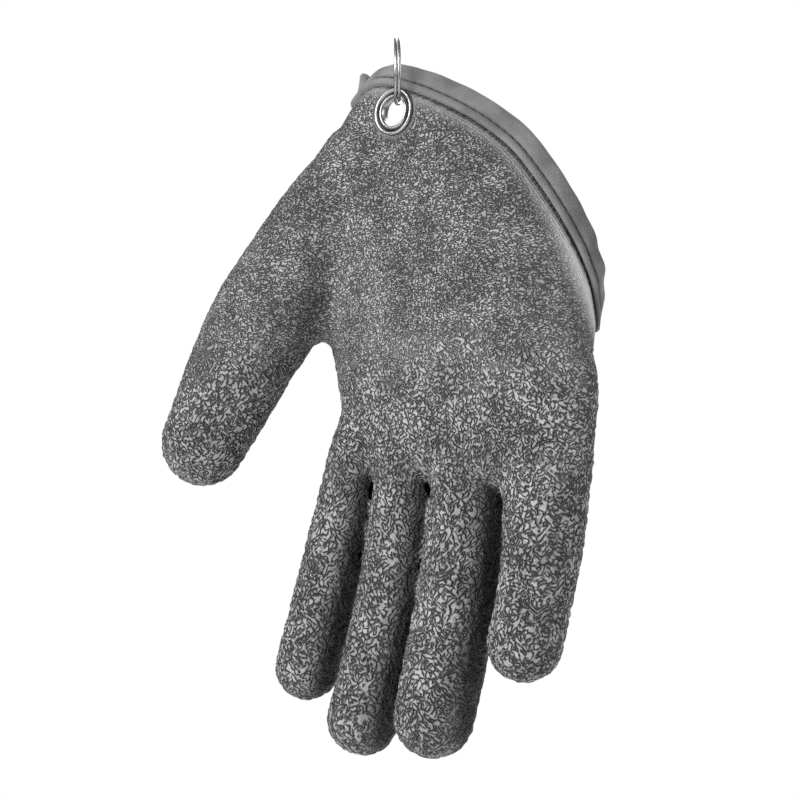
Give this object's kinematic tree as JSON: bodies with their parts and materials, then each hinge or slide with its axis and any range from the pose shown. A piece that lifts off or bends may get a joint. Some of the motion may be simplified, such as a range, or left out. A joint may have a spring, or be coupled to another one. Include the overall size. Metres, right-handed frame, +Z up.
{
  "type": "coated fishing glove",
  "caption": "Knitted work glove with a crinkled rubber coating, a bound cuff and a metal eyelet on a split ring, hanging with its fingers down.",
  "frame": {"origin": "inside top of the split ring, where a hook carries the glove", "axes": "+Z up, along the hanging glove; +X to the viewer's right, towards the little finger; +Y away from the viewer, from the glove's back towards its palm side"},
  "size_m": [0.1384, 0.0751, 0.2234],
  "materials": {
    "coated_knit": "grey latex coating over knit, crinkled, half matt",
    "binding_tape": "woven tape, matt",
    "eyelet_metal": "bright nickel plate",
    "ring_wire": "plated spring wire"
  },
  "bodies": {
    "ring": {"split_ring": "ring_wire"},
    "glove": {"palm_body": "coated_knit", "index_stall": "coated_knit", "middle_stall": "coated_knit", "ring_stall": "coated_knit", "little_stall": "coated_knit", "thumb_stall": "coated_knit", "cuff_binding": "binding_tape", "eyelet_barrel": "eyelet_metal", "eyelet_washer": "eyelet_metal"}
  },
  "joints": [
    {"name": "glove_swing", "type": "hinge", "parent": "ring", "child": "glove", "pos_m": [0, 0, -0.0095], "axis": [1, 0, 0], "range_deg": [-25, 25]}
  ]
}
